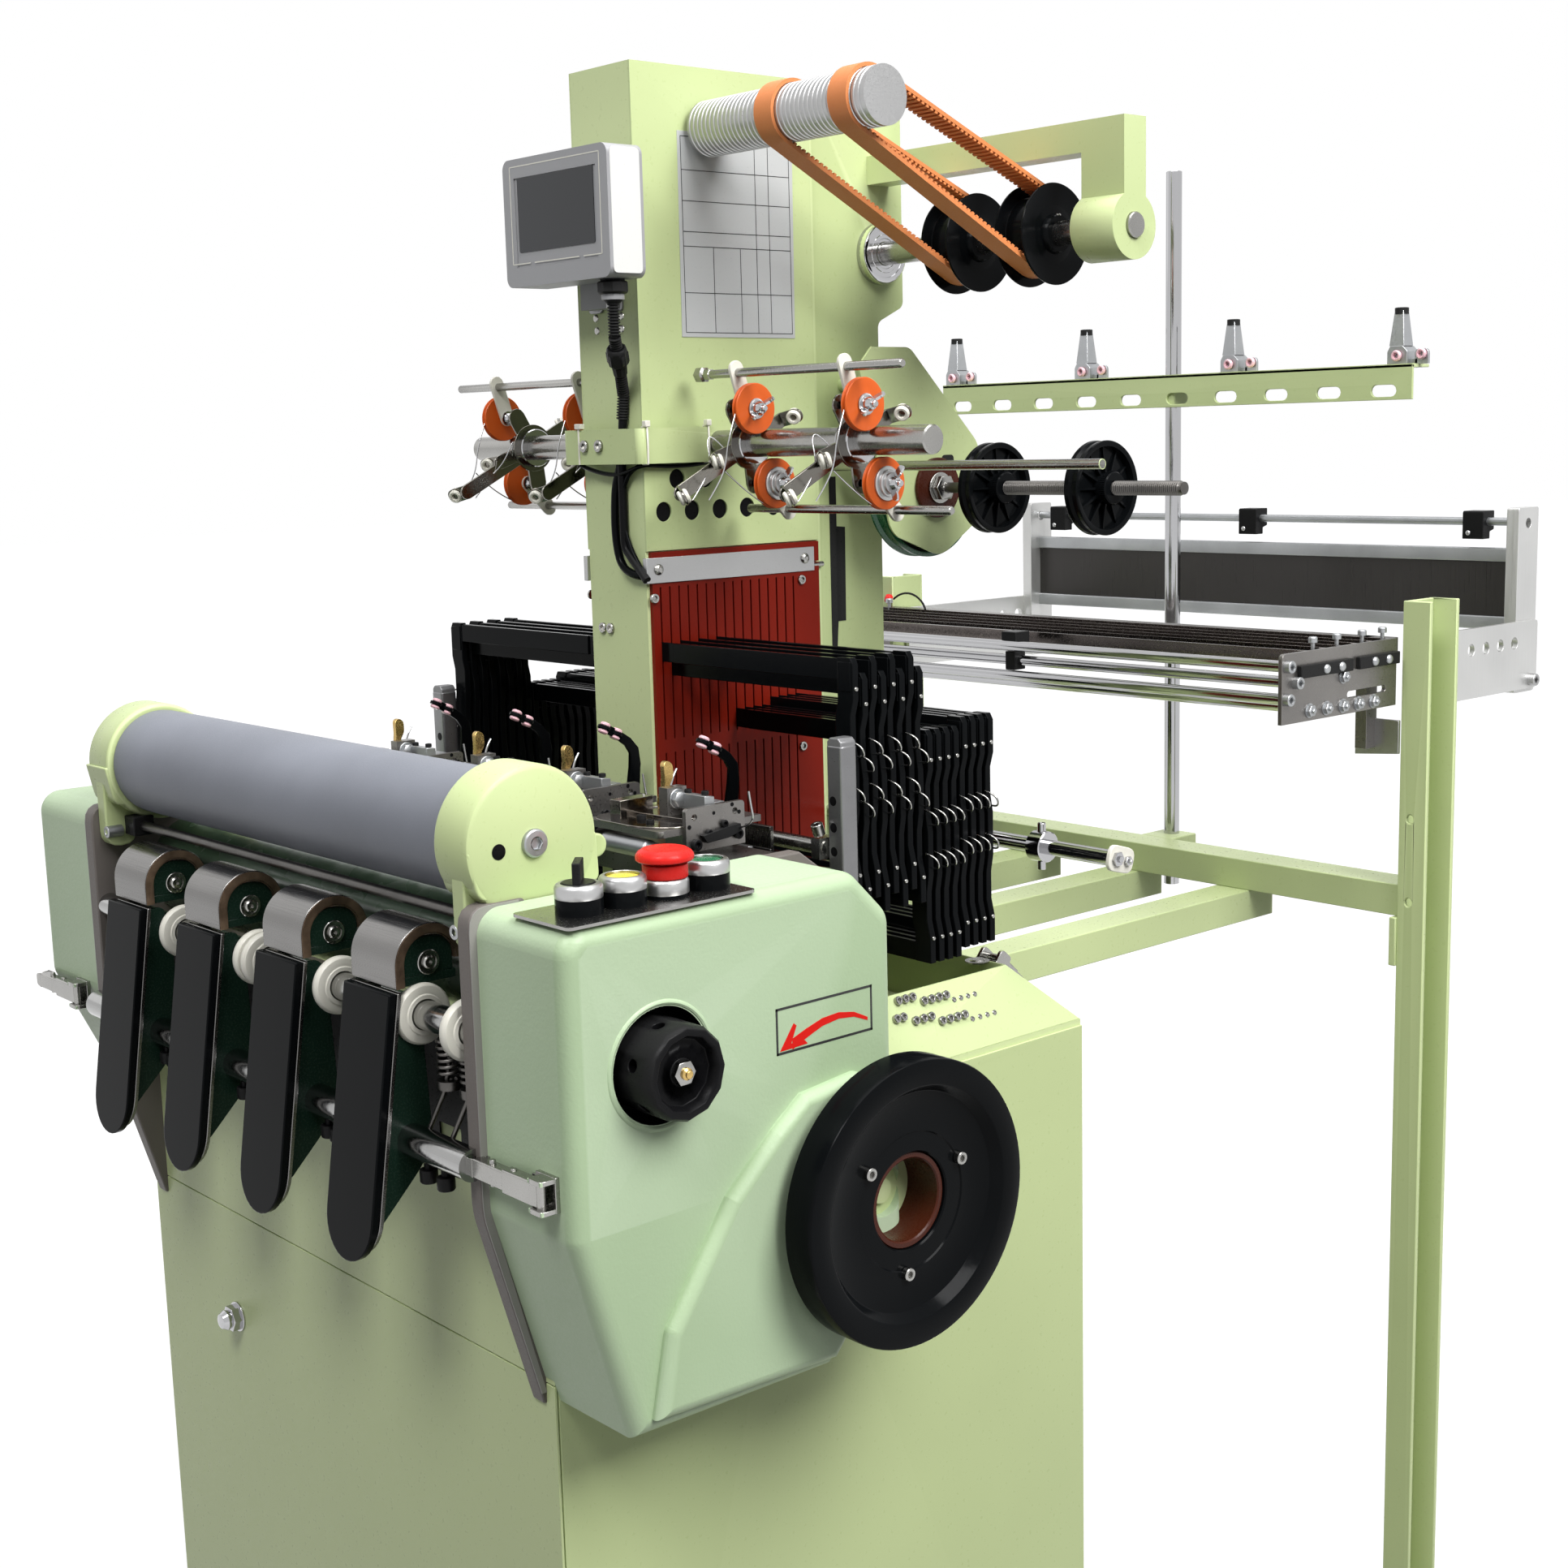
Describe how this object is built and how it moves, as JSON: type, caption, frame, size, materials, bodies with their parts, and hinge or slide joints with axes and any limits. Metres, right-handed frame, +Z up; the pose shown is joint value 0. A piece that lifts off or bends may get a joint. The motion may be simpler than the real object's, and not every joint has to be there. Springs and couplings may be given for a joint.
{
  "type": "narrow-fabric power loom",
  "caption": "Pale green narrow-fabric power loom with weaving heads, harness frames on a column, take-up roller, handwheel and rear thread frame.",
  "frame": {"origin": "midway between the floor-fixing holes, on the floor", "axes": "+X to the operator's right, +Y from the operator to the back, +Z up"},
  "size_m": [0.839, 1.272, 1.64],
  "materials": {
    "green_paint": "semi-gloss enamel",
    "dark_green_paint": "satin",
    "black_enamel": "gloss",
    "orange_plastic": "moulded",
    "column_paint": "semi-gloss enamel",
    "bright_steel": "brushed",
    "dark_steel": "oiled",
    "chrome_plate": "polished",
    "alloy": "satin",
    "grey_cast": "painted casting",
    "brass": "satin",
    "roller_rubber": "fine matt grip",
    "black_plastic": "moulded",
    "grey_plastic": "moulded",
    "white_plastic": "moulded",
    "guide_resin": "machined laminate",
    "red_plastic": "moulded",
    "yellow_plastic": "moulded",
    "green_plastic": "moulded",
    "orange_rubber": "toothed belt"
  },
  "bodies": {
    "machine": {"base_cabinet": "green_paint", "cabinet_deck": "green_paint", "rod_strap": "green_paint", "cabinet_panels": "green_paint", "side_frames": "green_paint", "gear_cover_right": "green_paint", "gear_cover_left": "green_paint", "control_plate": "bright_steel", "drive_motor": "grey_cast", "roller_caps": "green_paint", "cross_beam": "dark_green_paint", "front_shafts": "bright_steel", "column": "column_paint", "column_covers": "green_paint", "slotted_guides": "guide_resin", "rear_casting": "green_paint", "feed_belts": "orange_rubber", "feeder_rods": "chrome_plate", "feeder_arms": "dark_steel", "feeder_discs": "orange_plastic", "display_box": "grey_plastic", "display_cable": "black_plastic", "weaving_heads": "dark_steel", "thread_arms": "black_enamel", "rear_frame": "green_paint", "stop_motion": "bright_steel", "back_reed_frame": "alloy", "back_reed": "bright_steel", "slotted_rail": "green_paint", "thread_tensioners": "bright_steel"},
    "handwheel_body": {"handwheel": "black_enamel"},
    "motor_pulley_body": {"motor_pulley": "alloy"},
    "hand_knob_body": {"hand_knob": "black_plastic"},
    "take_up_roller_body": {"take_up_roller": "roller_rubber"},
    "head_shaft_body": {"head_shaft": "black_plastic"},
    "front_feed_shaft_body": {"front_feed_shaft": "black_plastic"},
    "pulley_shaft_body": {"pulley_shaft": "black_plastic"},
    "reed_sley_body": {"reed_sley": "bright_steel"},
    "selector_switch_body": {"selector_switch": "black_plastic"},
    "estop_button_body": {"estop_button": "red_plastic"},
    "yellow_button_body": {"yellow_button": "yellow_plastic"},
    "green_button_body": {"green_button": "green_plastic"},
    "finger_1_body": {"finger_1": "black_plastic"},
    "finger_2_body": {"finger_2": "black_plastic"},
    "finger_3_body": {"finger_3": "black_plastic"},
    "finger_4_body": {"finger_4": "black_plastic"},
    "head_latch_1_body": {"head_latch_1": "brass"},
    "head_latch_2_body": {"head_latch_2": "brass"},
    "head_latch_3_body": {"head_latch_3": "brass"},
    "head_latch_4_body": {"head_latch_4": "brass"},
    "toggle_1_body": {"toggle_1": "bright_steel"},
    "toggle_2_body": {"toggle_2": "bright_steel"},
    "toggle_3_body": {"toggle_3": "bright_steel"},
    "toggle_4_body": {"toggle_4": "bright_steel"},
    "harness_1_body": {"harness_1": "black_enamel"},
    "harness_2_body": {"harness_2": "black_enamel"},
    "harness_3_body": {"harness_3": "black_enamel"},
    "harness_4_body": {"harness_4": "black_enamel"},
    "harness_5_body": {"harness_5": "black_enamel"},
    "harness_6_body": {"harness_6": "black_enamel"},
    "harness_7_body": {"harness_7": "black_enamel"},
    "harness_8_body": {"harness_8": "black_enamel"}
  },
  "joints": [
    {"name": "handwheel_turn", "type": "hinge", "parent": "machine", "child": "handwheel_body", "pos_m": [0.417, -0.051, 0.834], "axis": [1, 0, 0], "continuous": true},
    {"name": "motor_pulley_turn", "type": "hinge", "parent": "machine", "child": "motor_pulley_body", "pos_m": [0.19, 0.06, 0.18], "axis": [1, 0, 0], "continuous": true},
    {"name": "hand_knob_turn", "type": "hinge", "parent": "machine", "child": "hand_knob_body", "pos_m": [0.387, -0.232, 0.962], "axis": [1, 0, 0], "continuous": true},
    {"name": "take_up_roller_turn", "type": "hinge", "parent": "machine", "child": "take_up_roller_body", "pos_m": [0, -0.255, 1.095], "axis": [1, 0, 0], "continuous": true},
    {"name": "head_shaft_turn", "type": "hinge", "parent": "machine", "child": "head_shaft_body", "pos_m": [0.2, 0.308, 1.502], "axis": [1, 0, 0], "continuous": true},
    {"name": "front_feed_shaft_turn", "type": "hinge", "parent": "machine", "child": "front_feed_shaft_body", "pos_m": [0.15, 0.11, 1.592], "axis": [1, 0, 0], "continuous": true},
    {"name": "pulley_shaft_turn", "type": "hinge", "parent": "machine", "child": "pulley_shaft_body", "pos_m": [0.2, 0.318, 1.3], "axis": [1, 0, 0], "continuous": true},
    {"name": "reed_sley_turn", "type": "hinge", "parent": "machine", "child": "reed_sley_body", "pos_m": [0, 0.006, 0.978], "axis": [1, 0, 0], "range_deg": [-3, 6]},
    {"name": "selector_switch_turn", "type": "hinge", "parent": "machine", "child": "selector_switch_body", "pos_m": [0.353, -0.267, 1.07], "axis": [0, 0, 1], "range_deg": [-45, 45]},
    {"name": "finger_1_turn", "type": "hinge", "parent": "machine", "child": "finger_1_body", "pos_m": [-0.1875, -0.311, 0.892], "axis": [1, 0, 0], "range_deg": [0, 12]},
    {"name": "head_latch_1_turn", "type": "hinge", "parent": "machine", "child": "head_latch_1_body", "pos_m": [-0.186, -0.066, 1.09], "axis": [1, 0, 0], "range_deg": [-60, 20]},
    {"name": "finger_2_turn", "type": "hinge", "parent": "machine", "child": "finger_2_body", "pos_m": [-0.0625, -0.311, 0.892], "axis": [1, 0, 0], "range_deg": [0, 12]},
    {"name": "head_latch_2_turn", "type": "hinge", "parent": "machine", "child": "head_latch_2_body", "pos_m": [-0.061, -0.066, 1.09], "axis": [1, 0, 0], "range_deg": [-60, 20]},
    {"name": "finger_3_turn", "type": "hinge", "parent": "machine", "child": "finger_3_body", "pos_m": [0.0625, -0.311, 0.892], "axis": [1, 0, 0], "range_deg": [0, 12]},
    {"name": "head_latch_3_turn", "type": "hinge", "parent": "machine", "child": "head_latch_3_body", "pos_m": [0.064, -0.066, 1.09], "axis": [1, 0, 0], "range_deg": [-60, 20]},
    {"name": "finger_4_turn", "type": "hinge", "parent": "machine", "child": "finger_4_body", "pos_m": [0.1875, -0.311, 0.892], "axis": [1, 0, 0], "range_deg": [0, 12]},
    {"name": "head_latch_4_turn", "type": "hinge", "parent": "machine", "child": "head_latch_4_body", "pos_m": [0.189, -0.066, 1.09], "axis": [1, 0, 0], "range_deg": [-60, 20]},
    {"name": "toggle_1_turn", "type": "hinge", "parent": "machine", "child": "toggle_1_body", "pos_m": [0.363, -0.312, 0.892], "axis": [0, 0, 1], "range_deg": [0, 100]},
    {"name": "toggle_2_turn", "type": "hinge", "parent": "machine", "child": "toggle_2_body", "pos_m": [-0.327, -0.312, 0.892], "axis": [0, 0, 1], "range_deg": [0, 100]},
    {"name": "toggle_3_turn", "type": "hinge", "parent": "machine", "child": "toggle_3_body", "pos_m": [0.345, -0.019, 0.978], "axis": [1, 0, 0], "range_deg": [0, 100]},
    {"name": "toggle_4_turn", "type": "hinge", "parent": "machine", "child": "toggle_4_body", "pos_m": [0.245, 0.22118, 0.92375], "axis": [1, 0, 0], "range_deg": [0, 100]},
    {"name": "harness_1_lift", "type": "slide", "parent": "machine", "child": "harness_1_body", "axis": [0, 0, 1], "range_m": [-0.062, 0]},
    {"name": "harness_2_lift", "type": "slide", "parent": "machine", "child": "harness_2_body", "axis": [0, 0, 1], "range_m": [-0.062, 0]},
    {"name": "harness_3_lift", "type": "slide", "parent": "machine", "child": "harness_3_body", "axis": [0, 0, 1], "range_m": [-0.05, 0.012]},
    {"name": "harness_4_lift", "type": "slide", "parent": "machine", "child": "harness_4_body", "axis": [0, 0, 1], "range_m": [-0.05, 0.012]},
    {"name": "harness_5_lift", "type": "slide", "parent": "machine", "child": "harness_5_body", "axis": [0, 0, 1], "range_m": [0, 0.062]},
    {"name": "harness_6_lift", "type": "slide", "parent": "machine", "child": "harness_6_body", "axis": [0, 0, 1], "range_m": [0, 0.062]},
    {"name": "harness_7_lift", "type": "slide", "parent": "machine", "child": "harness_7_body", "axis": [0, 0, 1], "range_m": [0, 0.062]},
    {"name": "harness_8_lift", "type": "slide", "parent": "machine", "child": "harness_8_body", "axis": [0, 0, 1], "range_m": [0, 0.062]},
    {"name": "estop_button_press", "type": "slide", "parent": "machine", "child": "estop_button_body", "axis": [0, 0, -1], "range_m": [0, 0.005], "stiffness_N_per_m": 400, "springref_m": -0.001},
    {"name": "yellow_button_press", "type": "slide", "parent": "machine", "child": "yellow_button_body", "axis": [0, 0, -1], "range_m": [0, 0.004], "stiffness_N_per_m": 400, "springref_m": -0.001},
    {"name": "green_button_press", "type": "slide", "parent": "machine", "child": "green_button_body", "axis": [0, 0, -1], "range_m": [0, 0.004], "stiffness_N_per_m": 400, "springref_m": -0.001}
  ],
  "couplings": [
    {"joint": "motor_pulley_turn", "follows": "handwheel_turn", "ratio": 1.2691},
    {"joint": "take_up_roller_turn", "follows": "hand_knob_turn", "ratio": -0.25},
    {"joint": "front_feed_shaft_turn", "follows": "head_shaft_turn", "ratio": 1.3587}
  ]
}
